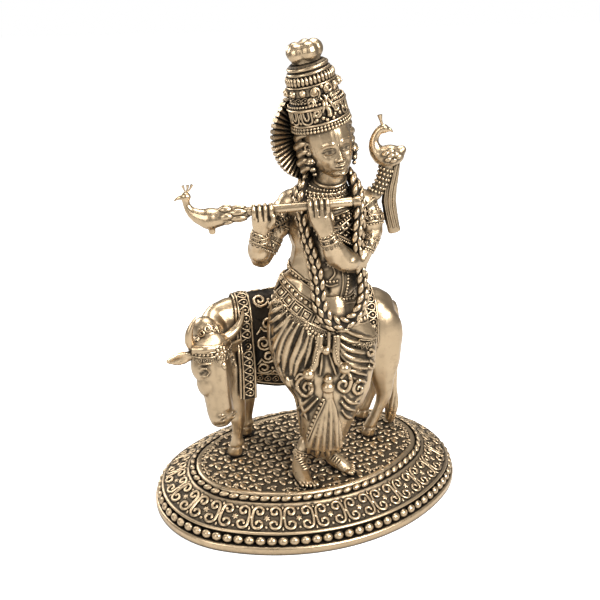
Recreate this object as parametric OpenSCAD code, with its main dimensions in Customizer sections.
// Cast brass flute player with a cow on a stepped oval plinth.
// Millimetres, +Z up, viewer on the -Y side, origin under the middle of the plinth.

/* [Plinth] */
// Length of the oval foot
foot_length = 130; // [122:1:145]
// Width of the oval foot
foot_width = 96.6; // [92:0.2:104]
// How far the deck edge lies inside the foot, all round
deck_inset = 17; // [14:0.5:19]
// Height of the deck above the table
deck_height = 15.5; // [13:0.5:18]
// Wall of the hollow plinth
plinth_wall = 2.4; // [1.8:0.2:3]
// Diameter of the round beads above the foot rim
foot_bead_d = 3.2; // [2.6:0.1:3.6]
// Number of round beads
foot_bead_count = 82; // [60:1:96]
// Diameter of the oblong beads under the deck edge
rope_bead_d = 1.9; // [1.5:0.1:2.1]
// Number of oblong beads
rope_bead_count = 64; // [40:1:68]
// Slant of the oblong beads
rope_slant = 18; // [0:1:24]

/* [Figure] */
// Height of the figure from the deck to the top of the crown
figure_height = 165; // [155:1:172]
// Place of the figure on the deck, to the viewer's right
figure_x = 3; // [1:0.5:5]
// Place of the figure on the deck, negative is nearer the viewer
figure_y = -13; // [-14:0.5:-12]
// Turn of the figure about the vertical
figure_turn = -22; // [-26:1:-18]
// Turn of the head on the neck
head_turn = 20; // [5:1:30]
// Lean of the head to the viewer's left
head_lean = 12; // [6:1:16]
// Further lean of the crown
crown_lean = 3; // [0:1:6]
// Radius of the halo behind the head
halo_r = 16.5; // [13:0.5:17]
// Number of ribs on the halo
halo_ribs = 26; // [20:2:40]

/* [Flute] */
// Diameter of the flute
flute_d = 3.2; // [2.6:0.1:3.6]
// Length of the plain rod
flute_length = 44; // [40:1:48]
// Rise of the flute toward its blowing end, degrees
flute_rise = 5.5; // [3:0.5:8]
// Thickness of a finger
finger_d = 1.9; // [1.6:0.1:2]
// Running clearance between fingers and flute, on the radius
finger_fit = 0.06; // [0.04:0.01:0.1]

/* [Cow] */
// Height of the cow's back above the deck
cow_height = 67; // [62:1:70]
// Place of the cow on the deck, to the viewer's right
cow_x = 3; // [2:0.5:4]
// Place of the cow on the deck, positive is away from the viewer
cow_y = 10; // [9.5:0.5:11]
// Turn of the cow about the vertical
cow_turn = -7; // [-9:1:-5]
// Turn of the cow's head toward the viewer
cow_head_turn = 12; // [-10:1:16]
// Thickness of the blanket
blanket_t = 1.2; // [0.9:0.1:1.5]

/* [Hidden] */
brass = "#c8a860";
pale = "#d8bd7c";
dark = "#8f7440";
$fn = 48;

// Oval of four arcs: two small end arcs and two large side arcs, concentric when inset.
// They meet on the slope of a 3-4-5 triangle, so that every centre and radius is a round number.
oval_a = foot_length / 2;
oval_b = foot_width / 2;
end_half = atan(4 / 3);
side_half = 90 - end_half;
arc_gap = 2.5 * (oval_a - oval_b);
end_x = 0.6 * arc_gap;
end_r = oval_a - end_x;
side_y = 0.8 * arc_gap;
side_r = end_r + arc_gap;

// Heights and insets of the plinth's steps, as parts of the deck height
rim_top = 0.22 * deck_height;
channel_floor = foot_bead_d / 2 + 2;
channel_top = rim_top + foot_bead_d + 0.6;
ridge_top = channel_top + 0.9;
band_top = 0.84 * deck_height;
rope_ledge = 0.865 * deck_height;
deck_under = 0.85 * deck_height - 0.3;
band_inset = deck_inset - 3.4;

// Scales of figure and cow against their drawn sizes
figure_k = figure_height / 165;
cow_k = cow_height / 67;
flute_r = flute_d / 2 / figure_k;
finger_r = finger_d / 2 / figure_k;
grip_r = flute_r + finger_fit / figure_k;
head_place = [-1.5, -3.5, 131];
halo_place = [-7.6, 5.2, 133.2];
halo_turn = 35;
flute_place = [-12, -16, 111.7];
blow_end = 21.5;
rod = flute_length / figure_k;
bird_end = blow_end - rod;

// One surface, cast in one piece from lofted forms
module cast_skin() resize([0, 0, 0]) children();

module on_figure() translate([figure_x, figure_y, deck_height]) rotate(figure_turn)
  scale(figure_k) children();

module on_cow() translate([cow_x, cow_y, deck_height]) rotate(cow_turn) scale(cow_k) children();

module on_head() translate(head_place) rotate([0, -head_lean, head_turn]) children();

// The flute lies along x, its blowing end to the viewer's right
module on_flute() translate(flute_place) rotate([0, -flute_rise, 0]) children();

// Smooth curve through rows of numbers, n steps to a span
function between(a, b, c, d, t) = 0.5 * (2 * b + (c - a) * t + (2 * a - 5 * b + 4 * c - d) * t * t
  + (3 * b - a - 3 * c + d) * t * t * t);
function smooth_rows(rows, n) = let (m = len(rows) - 1) concat(
  [for (i = [0 : m - 1], k = [0 : n - 1])
    between(rows[max(i - 1, 0)], rows[i], rows[i + 1], rows[min(i + 2, m)], k / n)],
  [rows[m]]);

function unit(v) = v / norm(v);
function spine(row) = [row[0], row[1], row[2]];

// Sides of a ring that stands across direction t; "flat" is the direction its width follows
function ring_u(t, flat) = unit(flat - t * (flat * t));

// Loft of oval rings: rows of [x, y, z, half width, half depth] with domed ends.
// "folds" waves of relative height "fold" run round the form and twist along it.
module loft(rows, sides = 12, steps = 2, flat = [1, 0, 0], grow = 0, dome = 0.6,
    folds = 0, fold = 0, twist = 0) {
  s = smooth_rows(rows, steps);
  m = len(s) - 1;
  tangents = [for (i = [0 : m]) unit(spine(s[min(i + 1, m)]) - spine(s[max(i - 1, 0)]))];
  rings = [for (i = [0 : m]) let (u = ring_u(tangents[i], flat), v = cross(tangents[i], u))
    [for (j = [0 : sides - 1]) let (a = 360 * j / sides,
        k = 1 + fold * cos(folds * a + twist * i))
      spine(s[i]) + u * ((s[i][3] * k + grow) * cos(a)) + v * ((s[i][4] * k + grow) * sin(a))]];
  first = spine(s[0]);
  last = spine(s[m]);
  h0 = dome * (min(s[0][3], s[0][4]) + grow);
  h1 = dome * (min(s[m][3], s[m][4]) + grow);
  cap0 = [for (p = rings[0]) first + (p - first) * 0.72 - tangents[0] * (h0 * 0.7)];
  cap1 = [for (p = rings[m]) last + (p - last) * 0.72 + tangents[m] * (h1 * 0.7)];
  all_rings = concat([cap0], rings, [cap1]);
  points = concat([for (r = all_rings) for (p = r) p],
    [first - tangents[0] * h0, last + tangents[m] * h1]);
  n = len(all_rings);
  walls = [for (i = [0 : n - 2], j = [0 : sides - 1], half = [0, 1])
    let (a = i * sides + j, b = i * sides + (j + 1) % sides) half == 0
      ? [a, b + sides, b] : [a, a + sides, b + sides]];
  bottom = [for (j = [0 : sides - 1]) [n * sides, j, (j + 1) % sides]];
  top = [for (j = [0 : sides - 1])
    [n * sides + 1, (n - 1) * sides + (j + 1) % sides, (n - 1) * sides + j]];
  polyhedron(points, concat(walls, bottom, top));
}

// A large block that removes everything below a level
module below(z = 0) translate([-200, -200, z - 400]) cube([400, 400, 400]);

// Sweep a profile of [radius inset, height] along the four arcs of the oval
module oval_sweep(profile) for (sign = [-1, 1]) {
  translate([sign * end_x, 0, 0]) intersection() {
    rotate_extrude() polygon([for (p = profile) [end_r - p[0], p[1]]]);
    linear_extrude(100, center = true) polygon([[0, 0], [180 * sign, -240], [180 * sign, 240]]);
  }
  translate([0, -sign * side_y, 0]) intersection() {
    rotate_extrude() polygon([for (p = profile) [side_r - p[0], p[1]]]);
    linear_extrude(100, center = true) polygon([[0, 0], [180, 240 * sign], [-180, 240 * sign]]);
  }
}

// Place of a point on the oval inset by "inset", u from 0 to 1 round the oval; turned outward
module on_oval(u, inset) {
  end_arc = 2 * end_half * (end_r - inset);
  side_arc = 2 * side_half * (side_r - inset);
  half = end_arc + side_arc;
  way = (u - floor(u)) * 2 * half;
  flip = way >= half ? 180 : 0;
  w = way >= half ? way - half : way;
  in_end = w < end_arc;
  a = in_end ? -end_half + w / (end_r - inset)
    : end_half + (w - end_arc) / (side_r - inset);
  centre = in_end ? [end_x, 0, 0] : [0, -side_y, 0];
  r = (in_end ? end_r : side_r) - inset;
  rotate(flip) translate(centre + [r * cos(a), r * sin(a), 0]) rotate(a) children();
}

// The oval as a flat outline
module oval_plate(inset) {
  r = end_r - inset;
  for (s = [-1, 1]) translate([s * end_x, 0]) circle(r);
  intersection() {
    translate([0, -side_y]) circle(side_r - inset);
    translate([0, side_y]) circle(side_r - inset);
    square([2 * (end_x + 0.6 * r), 4 * oval_b], center = true);
  }
}

// Plinth

module plinth() color(brass) oval_sweep([
  [0.5, 0], [0, 0.6], [0, rim_top - 0.6], [0.6, rim_top], [channel_floor, rim_top],
  [channel_floor, channel_top - 0.3], [2.6, channel_top], [2.6, ridge_top - 0.3],
  [3.1, ridge_top], [3.9, ridge_top], [band_inset, band_top], [band_inset, rope_ledge],
  [deck_inset - 0.3, rope_ledge], [deck_inset - 0.3, deck_under], [deck_inset + 4, deck_under],
  [deck_inset + 4, deck_under - 1.6], [band_inset + 3, band_top - plinth_wall],
  [channel_floor + plinth_wall, ridge_top - plinth_wall], [channel_floor + plinth_wall, 1.5],
  [plinth_wall + 1, 0]]);

// A slab of the oval between two heights
module oval_slab(inset, from, to) translate([0, 0, from]) linear_extrude(to - from)
  oval_plate(inset);

// The deck plate lies in the plinth's rebate; its edge is rounded in small steps
module deck() color(pale) {
  edge = deck_height - rope_ledge;
  oval_slab(deck_inset - 0.3, deck_under, rope_ledge);
  for (i = [0 : 4]) oval_slab(deck_inset + 0.4 * edge * (1 - cos(18 * i)), rope_ledge - 0.1,
    rope_ledge + edge * (0.5 + 0.5 * sin(18 * (i + 1))));
}

module foot_beads() color(pale) {
  r = foot_bead_d / 2;
  for (i = [0 : foot_bead_count - 1]) on_oval(i / foot_bead_count, channel_floor - r - 0.04)
    translate([0, 0, rim_top + r + 0.04]) sphere(r);
}

// Short slanted reels laid end to end, like the strands of a rope
module rope_border() color(pale) {
  r = rope_bead_d / 2;
  long = 0.62 * 3.1 * (oval_a + oval_b - 2 * deck_inset) / rope_bead_count;
  for (i = [0 : rope_bead_count - 1]) on_oval(i / rope_bead_count, deck_inset - r - 0.5)
    translate([0, 0, rope_ledge + r + 0.45]) rotate([90 - rope_slant, 0, 0])
      cylinder(h = long, r = r, center = true);
}

// Cow. Drawn along x with the head toward -x, the feet on z = 0.

// Barrel and neck, from the tail to the poll: half width across, half height
trunk_rows = [[39.5, 0, 46, 4, 7], [36, 0, 46, 8.5, 13.5], [30, 0, 47, 11, 18], [19, 0, 47.5, 11.6, 19.2],
  [4, 0, 46.8, 11.8, 20], [-11, 0, 47.5, 11.6, 20.2], [-21, 0, 50, 10.6, 19],
  [-29, -0.5, 54, 8.8, 15.2], [-35, -2, 56.5, 7.2, 11.5], [-38.8, -5, 56.2, 6, 8.8],
  [-40.4, -9.5, 56, 5.4, 7.4]];
// Head in its own frame: from the poll down to the muzzle
cow_head_at = [-40.8, -16.5, 56];
cow_face_rows = [[0, 0.5, 3.5, 6.2, 5], [0, 0, 0, 8, 7], [0, -0.8, -6, 8.4, 7.4],
  [0, -2.2, -13, 7, 6.6], [0, -3.6, -21, 5.6, 5.2], [0, -4.4, -27, 5.4, 4.8], [0, -4.6, -30.6, 4.6, 3.8]];
horn_rows = [[6, 0.5, -0.6, 1.9, 1.9], [9.2, 0.2, 1.8, 1.7, 1.7], [10.6, -0.4, 6, 1.3, 1.3],
  [9.4, -1, 11, 0.6, 0.6]];
ear_rows = [[7, 0.5, -4.6, 1.4, 1.2], [10.5, 0.8, -5, 2.4, 1.1], [14.5, 1, -4.6, 2.2, 0.9],
  [18, 1, -4.4, 0.7, 0.5]];
foreleg_rows = [[0, 0, 42, 4.6, 7], [0, 0, 34, 4, 5.4], [0.3, 0, 25, 3.2, 3.8], [0.6, 0, 17, 3, 3.3],
  [0.2, 0, 10, 2.2, 2.3], [-0.4, 0, 5.5, 2.6, 2.7], [-1.2, 0, 1, 3, 3.5]];
hindleg_rows = [[6, 0, 45, 5, 9], [6.5, 0, 34, 4.6, 8], [7, 0, 26, 3.6, 5.2], [7.6, 0, 19, 2.9, 3.6],
  [5.2, 0, 12, 2.3, 2.4], [2.4, 0, 6, 2.6, 2.7], [0.8, 0, 1, 3, 3.5]];
tail_rows = [[37.5, 0, 57, 2.4, 2.4], [41, 0, 54, 2.2, 2.2], [42.6, -0.5, 46, 1.9, 1.9],
  [42.6, -1, 34, 1.7, 1.7], [42, -1.5, 22, 1.8, 1.8], [41.6, -2, 13, 2.4, 2.4],
  [41.2, -2, 6, 2.1, 2.1], [41, -2, 1.6, 0.8, 0.8]];

module trunk_form(grow = 0) loft(trunk_rows, sides = 14, steps = 2, flat = [0, 1, 0], grow = grow);

module on_cow_head() translate(cow_head_at) rotate([0, 0, cow_head_turn - cow_turn]) children();

module cow_face_form(grow = 0) on_cow_head() loft(cow_face_rows, sides = 12, steps = 2, grow = grow);

module forelegs_form() for (leg = [[-31.5, -7.6], [-24, 7.6]]) translate([leg[0], leg[1], 0])
  loft(foreleg_rows, sides = 8, steps = 2, flat = [0, 1, 0]);

module hindlegs_form() for (leg = [[25, -7.6], [27.5, 7.6]]) translate([leg[0], leg[1], 0])
  loft(hindleg_rows, sides = 8, steps = 2, flat = [0, 1, 0]);

module both_sides() for (side = [0, 1]) mirror([side, 0, 0]) children();

module horns_form() on_cow_head() both_sides() loft(horn_rows, sides = 8, steps = 2);

module ears_form() on_cow_head() both_sides() loft(ear_rows, sides = 8, steps = 2, flat = [0, 0, 1]);

module cow_trunk() color(brass) on_cow() trunk_form();

module cow_head() color(brass) cast_skin() difference() {
  on_cow() cow_face_form();
  on_cow() trunk_form();
}

module cow_horns() color(pale) cast_skin() difference() {
  on_cow() horns_form();
  on_cow() cow_face_form();
  on_cow() trunk_form();
}

module cow_ears() color(brass) cast_skin() difference() {
  on_cow() ears_form();
  on_cow() cow_face_form();
  on_cow() trunk_form();
  on_cow() horns_form();
}

module cow_forelegs() color(brass) cast_skin() difference() {
  on_cow() forelegs_form();
  on_cow() trunk_form();
  on_cow() cow_face_form();
  below(deck_height);
}

module cow_hindlegs() color(brass) cast_skin() difference() {
  on_cow() hindlegs_form();
  on_cow() trunk_form();
  below(deck_height);
}

module cow_tail() color(brass) cast_skin() difference() {
  on_cow() loft(tail_rows, sides = 8, steps = 2);
  on_cow() trunk_form();
  on_cow() hindlegs_form();
  below(deck_height);
}

// The part of the barrel that the blanket covers
module blanket_zone() translate([-31, -30, 25.5]) cube([58.7, 60, 50]);

// Front corner of the blanket, hanging free over the shoulder
module blanket_flap() for (side = [0, 1]) mirror([0, side, 0]) hull() {
  translate([-31, -11.4, 50]) cube([7, 1.4, 1]);
  translate([-31, -13.7, 40]) cube([7, 1.4, 1]);
  translate([-31, -13.7, 26]) cube([7, 1.4, 1]);
}

module cow_blanket() color(dark) cast_skin() difference() {
  on_cow() union() {
    intersection() {
      trunk_form(blanket_t);
      blanket_zone();
    }
    blanket_flap();
  }
  on_cow() trunk_form();
  on_cow() forelegs_form();
  on_cow() hindlegs_form();
  on_cow() ears_form();
  on_cow() cow_face_form();
}

// Browband across the forehead with a round rosette
module cow_browband() color(dark) cast_skin() difference() {
  on_cow() {
    intersection() {
      cow_face_form(0.8);
      on_cow_head() translate([-15, -15, -4.5]) cube([30, 15, 2.6]);
    }
    on_cow_head() translate([0, -7.4, -3.2]) rotate([90, 0, 0])
      cylinder(h = 1.6, r = 2.8, $fn = 12);
  }
  on_cow() cow_face_form();
  on_cow() ears_form();
}

// Figure. Drawn upright on z = 0, facing -y.

dhoti_rows = [[-2.3, -5, 9.5, 6.8, 5.6], [-2, -4.6, 16, 9, 6.8], [-0.6, -4, 27, 11.6, 8.8],
  [0.4, -3.4, 36, 15.4, 9.6], [-1.2, -3, 46, 18.6, 10], [-2.8, -2.6, 57, 20.4, 10.2],
  [-2.8, -2.2, 66, 20.6, 10.2], [-2, -1.6, 73, 18, 9.6], [-0.8, -1.2, 79, 13.6, 8.8]];
torso_rows = [[-0.4, -1.2, 75, 12.4, 8.4], [0.2, -1.6, 81, 11.8, 8.2], [0, -1.6, 87, 11.2, 7.8],
  [-1.2, -1.5, 95, 13, 8.3], [-2.2, -1, 103, 15, 8.6], [-2.2, -0.6, 109, 15, 7.4],
  [-1.6, -1, 113, 11.5, 6], [-0.8, -2.2, 116.4, 6.6, 5.2], [-0.3, -3, 119.5, 4.9, 4.8],
  [-0.6, -3.2, 126, 4.8, 4.8]];
// Head in its own frame, from the chin up
head_rows = [[0, -5, -10, 3.2, 2.6], [0, -4, -8, 5.5, 5], [0, -1.8, -4, 7.5, 7.8],
  [0, -0.4, 1, 8.3, 9], [0, 0.2, 5, 8.3, 9], [0, 0.4, 9, 7.2, 8]];
right_foot_rows = [[-8.6, -4.1, 12.9, 2.8, 2.9], [-10.9, -5.3, 7.1, 2.8, 3.1], [-11.2, -8, 4, 3, 2.9],
  [-9.4, -12, 2.6, 3.1, 2.1], [-7.5, -15.4, 1.5, 3, 1.4], [-6.4, -17.6, 1.1, 2.4, 1]];
left_foot_rows = [[-0.6, -2, 12, 2.8, 2.9], [0, -2.2, 7, 2.7, 3], [1.8, -3.4, 4, 2.9, 2.9],
  [4.6, -5, 2.6, 3, 2.1], [7, -6.4, 1.5, 2.9, 1.4], [8.6, -7.2, 1.1, 2.3, 1]];
right_upper_rows = [[-14.5, 0, 109.5, 4.8, 4.8], [-17.6, -0.4, 104.5, 4.6, 4.6],
  [-20.6, -1.6, 98.6, 4.2, 4.2], [-23.6, -3.4, 92.8, 4.1, 4.1], [-25.8, -5.4, 89.4, 3.9, 3.9]];
right_fore_rows = [[-25.8, -4.6, 89.3, 3.8, 3.8], [-26.2, -8, 93, 4, 4], [-25.8, -11.4, 97.5, 3.5, 3.5],
  [-25, -14.4, 103, 2.9, 2.6]];
left_upper_rows = [[11, 0, 109.5, 4.8, 4.8], [13.6, -0.6, 104.5, 4.7, 4.7], [14.6, -2.4, 98, 4.4, 4.4],
  [13.4, -5.4, 92, 4.3, 4.3], [11.4, -8, 88.8, 4, 4]];
left_fore_rows = [[11.8, -7.4, 88.8, 3.9, 3.9], [8.4, -10.6, 90, 4.3, 4.3], [3.4, -14, 93.6, 4.1, 4],
  [-0.8, -16.4, 99, 3.3, 3], [-2.2, -17, 102.4, 3, 2.6]];
right_palm_rows = [[-25, -14.2, 102.4, 2.8, 2.5], [-24.8, -15.4, 105, 3.4, 2.2],
  [-24.4, -16.4, 108, 3.9, 2.6], [-24.4, -16.4, 109.6, 3.7, 2.6]];
left_palm_rows = [[-2.2, -17, 101.8, 2.9, 2.5], [-3.2, -17.4, 105, 3.5, 2.3],
  [-4.8, -17.2, 108.6, 3.9, 2.6], [-5.3, -17, 111, 3.8, 2.6]];

module dhoti_form(grow = 0) loft(dhoti_rows, sides = 24, steps = 2, grow = grow, folds = 8,
  fold = 0.035, twist = 14);

module torso_form(grow = 0) loft(torso_rows, sides = 14, steps = 2, grow = grow);

module right_arm_form(grow = 0) {
  loft(right_upper_rows, sides = 8, steps = 2, grow = grow, dome = 0.8);
  loft(right_fore_rows, sides = 8, steps = 2, grow = grow, dome = 0.8);
}

module left_arm_form(grow = 0) {
  loft(left_upper_rows, sides = 8, steps = 2, grow = grow, dome = 0.8);
  loft(left_fore_rows, sides = 8, steps = 2, grow = grow, dome = 0.8);
}

module right_foot_form(grow = 0) loft(right_foot_rows, sides = 8, steps = 2, grow = grow);

module left_foot_form(grow = 0) loft(left_foot_rows, sides = 8, steps = 2, grow = grow);

module cow_side() {
  on_cow() trunk_form(blanket_t + 0.05);
  on_cow() hindlegs_form();
}

module dhoti() color(brass) cast_skin() difference() {
  on_figure() dhoti_form();
  cow_side();
}

module right_foot() color(brass) cast_skin() difference() {
  on_figure() right_foot_form();
  on_figure() dhoti_form();
  below(deck_height);
}

module left_foot() color(brass) cast_skin() difference() {
  on_figure() left_foot_form();
  on_figure() dhoti_form();
  on_figure() right_foot_form();
  below(deck_height);
}

// A ring round each ankle and a chain down the right instep
module anklets() color(pale) cast_skin() difference() {
  on_figure() {
    intersection() {
      right_foot_form(0.8);
      union() {
        translate([-20, -20, 6.4]) cube([40, 40, 2.2]);
        translate([-9.4, -11.5, 7]) rotate(-62) cube([9, 2.4, 10], center = true);
      }
    }
    intersection() {
      left_foot_form(0.8);
      translate([-20, -20, 6.4]) cube([40, 40, 2.2]);
    }
  }
  on_figure() right_foot_form();
  on_figure() left_foot_form();
  on_figure() dhoti_form();
}

module torso() color(brass) cast_skin() difference() {
  on_figure() torso_form();
  on_figure() dhoti_form();
  cow_side();
}

// Crown, on the axis of the head

crown_foot = 7.2;
finial_lobes = 5;
module on_crown() on_head() translate([-1, 0.4, crown_foot]) rotate([0, -crown_lean, 0]) children();
crown_rows = [[10, 0], [10.4, 0.6], [10, 1.3], [9.8, 2.6], [9.6, 7.4], [9.9, 8], [9.5, 8.8], [8.3, 9.2],
  [8.1, 11.6], [8.8, 12], [8.8, 14.4], [8, 14.8], [7.7, 15.4], [7.9, 16.6], [7.7, 17.8], [6.9, 18.2],
  [7.1, 19.2], [6.5, 19.8], [6.7, 20.9], [5.9, 21.6]];

module crown_form(grow = 0) on_crown() translate([0, 0, -grow]) rotate_extrude()
  polygon(concat([[0, 0]], [for (p = crown_rows) [p[0] + grow, p[1]]], [[0, 21.6 + grow]]));

module head_form() on_head() loft(head_rows, sides = 14, steps = 2);

module head() color(brass) cast_skin() difference() {
  on_figure() head_form();
  on_figure() torso_form();
  on_figure() crown_form(0.05);
}

module crown() color(pale) on_figure() crown_form();

// Lobed bun: one core and a ring of lobes
module crown_finial() color(pale) cast_skin() on_figure() on_crown() translate([0, 0, 21.64]) {
  cylinder(h = 5.9, r1 = 5.1, r2 = 3.9, $fn = 18);
  for (i = [0 : finial_lobes - 1]) rotate(360 / finial_lobes * i + 59)
    translate([3.35, 0, 3.47]) rotate(7 * i) sphere(3.33, $fn = 13);
}

// Thin disc, its front pleated into ribs that fade toward the middle
module ribbed_disc(r, hub, ribs, t, rise) {
  n = 2 * ribs;
  function ring(radius, z, lift) = [for (i = [0 : n - 1])
    [radius * cos(360 * i / n), radius * sin(360 * i / n), z + lift * (1 - i % 2)]];
  points = concat(ring(r, 0, 0), ring(r, t, rise), ring(hub, t, 0.3 * rise), [[0, 0, 0], [0, 0, t]]);
  faces = [for (i = [0 : n - 1]) let (k = (i + 1) % n) each [
    [3 * n, i, k], [i, i + n, k], [k, i + n, k + n], [i + n, i + 2 * n, k + n],
    [k + n, i + 2 * n, k + 2 * n], [3 * n + 1, k + 2 * n, i + 2 * n]]];
  polyhedron(points, faces);
}

module halo_form() translate(halo_place) rotate([90, 0, halo_turn])
  ribbed_disc(halo_r, 0.35 * halo_r, halo_ribs, 1.2, 0.7);

module halo() color(pale) cast_skin() difference() {
  on_figure() halo_form();
  on_figure() crown_form(0.05);
  on_figure() head_form();
  on_figure() torso_form(0.9);
}

// Ear drops with a ball below
module earrings() color(pale) cast_skin() difference() {
  on_figure() on_head() for (side = [-1, 1]) translate([side * 7.6, 0.5, -2.6]) {
    sphere(2, $fn = 10);
    translate([0, 0, -2.8]) sphere(1.4, $fn = 8);
    translate([0, 0, 2.8]) sphere(1.6, $fn = 8);
  }
  on_figure() head_form();
  on_figure() torso_form();
  on_figure() crown_form(0.05);
  on_figure() halo_form();
}

module right_arm() color(brass) cast_skin() difference() {
  on_figure() right_arm_form();
  on_figure() torso_form();
}

module left_arm() color(brass) cast_skin() difference() {
  on_figure() left_arm_form();
  on_figure() torso_form();
}

// Four fingers over the flute, from x = start on the flute's axis; their facets stay off the rod
finger_facets = 16;
module fingers(start) on_flute() for (i = [0 : 3]) translate([start + 2.06 * finger_r * i, 0, 0])
  rotate([0, 90, 0]) rotate(-150) rotate_extrude(angle = 250, $fn = finger_facets)
    translate([grip_r / cos(180 / finger_facets) + finger_r, 0]) circle(finger_r, $fn = 6);

module flute_bore(r, from = -60) on_flute() translate([from, 0, 0]) rotate([0, 90, 0])
  cylinder(h = 120, r = r, $fn = 40);

module right_hand() color(brass) cast_skin() difference() {
  on_figure() {
    loft(right_palm_rows, sides = 10, steps = 2);
    fingers(-15.2);
  }
  on_figure() right_arm_form();
  on_figure() flute_bore(grip_r);
}

module left_hand() color(brass) cast_skin() difference() {
  on_figure() {
    loft(left_palm_rows, sides = 10, steps = 2);
    fingers(4);
  }
  on_figure() left_arm_form();
  on_figure() flute_bore(grip_r);
}

// Armlets and bracelets: a collar round a limb, between two of its rows
module band_at(rows, i, t, width, r) {
  p = spine(rows[i]) * (1 - t) + spine(rows[i + 1]) * t;
  d = unit(spine(rows[i + 1]) - spine(rows[i]));
  translate(p) rotate([0, acos(d[2]), atan2(d[1], d[0])])
    cylinder(h = width, r = r, center = true, $fn = 12);
}

module arm_bands() color(pale) cast_skin() difference() {
  on_figure() {
    band_at(right_upper_rows, 1, 0.2, 2.2, 5.5);
    band_at(right_upper_rows, 2, 0.7, 2.8, 5);
    band_at(right_fore_rows, 2, 0.55, 2, 4.1);
    band_at(left_upper_rows, 1, 0.2, 2.2, 5.5);
    band_at(left_upper_rows, 2, 0.6, 2.8, 5.2);
    band_at(left_fore_rows, 3, 0.4, 2, 4.1);
  }
  on_figure() right_arm_form();
  on_figure() left_arm_form();
  on_figure() torso_form();
}

// Garland: two strands from the shoulders meeting in a loop below the navel
garland_rows = [[-7.5, 0, 119, 2, 1.6], [-11, -5, 114.5, 2.3, 1.8], [-10.5, -9, 107, 2.4, 1.8],
  [-8.6, -10, 98, 2.4, 1.8], [-6, -10, 90, 2.4, 1.8], [-4.6, -10.6, 80, 2.6, 2], [-3.6, -12.6, 70, 2.6, 2],
  [1.4, -13.6, 64.6, 2.6, 2], [7.4, -13, 66, 2.6, 2], [11, -10.6, 73, 2.6, 2], [10.6, -8.6, 82, 2.4, 1.8],
  [9.4, -8.6, 90, 2.4, 1.8], [8.4, -9.6, 98, 2.4, 1.8], [9, -9.4, 106, 2.4, 1.8], [8.4, -5.4, 114.5, 2.3, 1.8],
  [6, 0, 119, 2, 1.6]];

module garland_form(grow = 0) loft(garland_rows, sides = 6, steps = 2, flat = [0.05, 1, 0.02], grow = grow);

module garland() color(brass) cast_skin() difference() {
  on_figure() garland_form();
  on_figure() torso_form();
  on_figure() dhoti_form();
  on_figure() right_arm_form();
  on_figure() left_arm_form();
}

// Broad collar that follows the chest
module necklace() color(dark) cast_skin() difference() {
  on_figure() intersection() {
    torso_form(0.8);
    translate([-1, -6, 114]) rotate([24, 0, 0]) cylinder(h = 8, r1 = 11, r2 = 8, center = true, $fn = 20);
  }
  on_figure() torso_form();
  on_figure() garland_form();
  on_figure() right_arm_form();
  on_figure() left_arm_form();
}

// Slanted belt on the hip
module belt() color(pale) cast_skin() difference() {
  on_figure() intersection() {
    dhoti_form(1.1);
    translate([-2, -2, 71]) rotate([8, 12, 0]) cube([60, 60, 5], center = true);
  }
  on_figure() dhoti_form();
  on_figure() torso_form();
  on_figure() garland_form();
  cow_side();
}

sash_left = [[-4, -12.6, 62, 1.6, 1.1], [-4.4, -14, 55, 1.5, 1.1], [-4.8, -14.4, 49, 1.4, 1.1],
  [-6.4, -14.4, 46, 1.3, 1.1]];
sash_right = [[2, -12.8, 62, 1.6, 1.1], [2.4, -14.2, 55, 1.5, 1.1], [3.4, -14.6, 50, 1.4, 1.1],
  [5.4, -14.4, 48, 1.3, 1.1]];

module sash_ends() color(pale) cast_skin() difference() {
  on_figure() {
    loft(sash_left, sides = 8, steps = 2);
    loft(sash_right, sides = 8, steps = 2);
    translate([-7.2, -14, 45]) sphere(1.9, $fn = 8);
    translate([6.2, -14, 47.4]) sphere(1.9, $fn = 8);
  }
  on_figure() dhoti_form();
  on_figure() garland_form();
}

pleat_rows = [[-0.8, -13.2, 40.2, 1.8, 1.4], [-0.8, -12.8, 36, 2.4, 1.7], [-1.2, -12.2, 29, 5, 2], [-1.8, -11.2, 20, 6.8, 2.2],
  [-2.2, -10.2, 13, 7.6, 2.2]];

// Fan of pleats below a tassel bead and its cap
module front_pleat() color(brass) cast_skin() difference() {
  on_figure() {
    loft(pleat_rows, sides = 21, steps = 1, folds = 7, fold = 0.08);
    translate([-0.8, -13.6, 40]) cylinder(h = 3.2, r1 = 2.6, r2 = 1.6, $fn = 16);
    translate([-0.8, -13.6, 44.4]) sphere(1.8, $fn = 10);
  }
  on_figure() dhoti_form();
  on_figure() right_foot_form();
  on_figure() left_foot_form();
}

// Flute and birds

// Plain rod with a turned groove near the blowing end
module flute() color(brass) on_figure() on_flute() rotate([0, 90, 0]) translate([0, 0, bird_end])
  rotate_extrude() polygon([[0, 0], [flute_r, 0], [flute_r, rod - 3.2], [0.8 * flute_r, rod - 3.2],
    [0.8 * flute_r, rod - 2.6], [flute_r, rod - 2.6], [flute_r, rod - 0.3], [0.8 * flute_r, rod],
    [0, rod]]);

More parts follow.
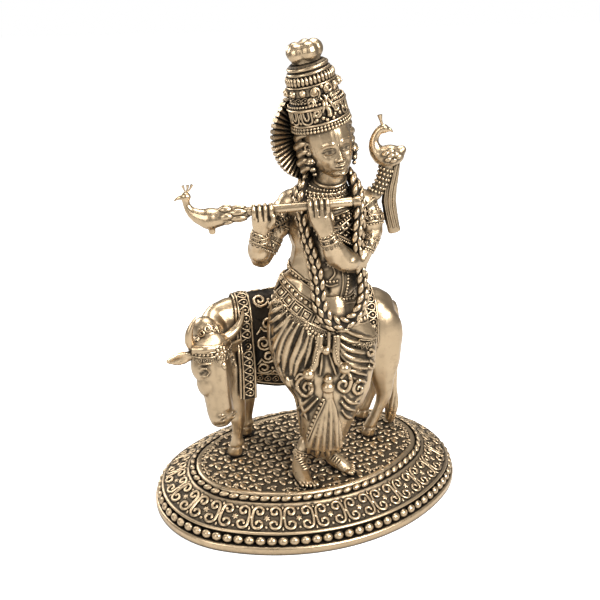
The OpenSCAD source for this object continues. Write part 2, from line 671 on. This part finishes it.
bird_rows = [[bird_end + 5, 0, -0.4, 1.9, 1.9], [bird_end - 1, 0, -0.4, 2.8, 2.8],
  [bird_end - 6, 0, -1.2, 3.6, 3.4], [bird_end - 10.5, 0, -0.6, 3.3, 3.2], [bird_end - 14, 0, 1.6, 2, 2],
  [bird_end - 15.4, 0, 4.4, 1.3, 1.3], [bird_end - 15.4, 0, 7, 1.5, 1.5]];

module flute_peacock() color(brass) cast_skin() difference() {
  on_figure() on_flute() {
    loft(bird_rows, sides = 12, steps = 2, flat = [0, 1, 0]);
    translate([bird_end - 8, 0, -6.6]) cylinder(h = 4, r = 1.2, $fn = 12);
  }
  on_figure() flute_bore(flute_r + 0.02, bird_end - 0.02);
}

shoulder_rows = [[15, 0.4, 111, 2.4, 2.2], [18, 0.4, 116.4, 2.2, 2.2], [19.6, 0.4, 122, 2.6, 2.6]];
bird2_rows = [[25.4, 0.4, 128.4, 1.4, 1.4], [22.6, 0.4, 126.4, 3.6, 3.4], [19, 0.4, 125.6, 4.2, 4],
  [15.8, 0.4, 127.6, 2.8, 2.8], [14.8, 0.4, 131, 1.7, 1.7], [16, 0.4, 134.2, 1.4, 1.4],
  [18, 0.4, 135.4, 1.6, 1.6], [20.6, 0.4, 134.8, 0.5, 0.5]];
train_rows = [[23.2, 1, 126, 1.6, 1.2], [22, 1.4, 119, 2.4, 1.1], [21, 1.6, 109, 2.8, 1.1],
  [23.6, 1.8, 97.5, 2.4, 1.1]];

module shoulder_bird_form() {
  loft(shoulder_rows, sides = 10, steps = 2);
  loft(bird2_rows, sides = 12, steps = 2, flat = [0, 1, 0]);
}

module shoulder_peacock() color(brass) cast_skin() difference() {
  on_figure() shoulder_bird_form();
  on_figure() left_arm_form();
  on_figure() torso_form();
}

module peacock_train() color(brass) cast_skin() difference() {
  on_figure() loft(train_rows, sides = 10, steps = 2);
  on_figure() shoulder_bird_form();
  on_figure() left_arm_form();
}

plinth();
deck();
foot_beads();
rope_border();
cow_trunk();
cow_head();
cow_horns();
cow_ears();
cow_forelegs();
cow_hindlegs();
cow_tail();
cow_blanket();
cow_browband();
dhoti();
right_foot();
left_foot();
anklets();
torso();
head();
crown();
crown_finial();
halo();
earrings();
right_arm();
left_arm();
right_hand();
left_hand();
arm_bands();
garland();
necklace();
belt();
sash_ends();
front_pleat();
flute();
flute_peacock();
shoulder_peacock();
peacock_train();
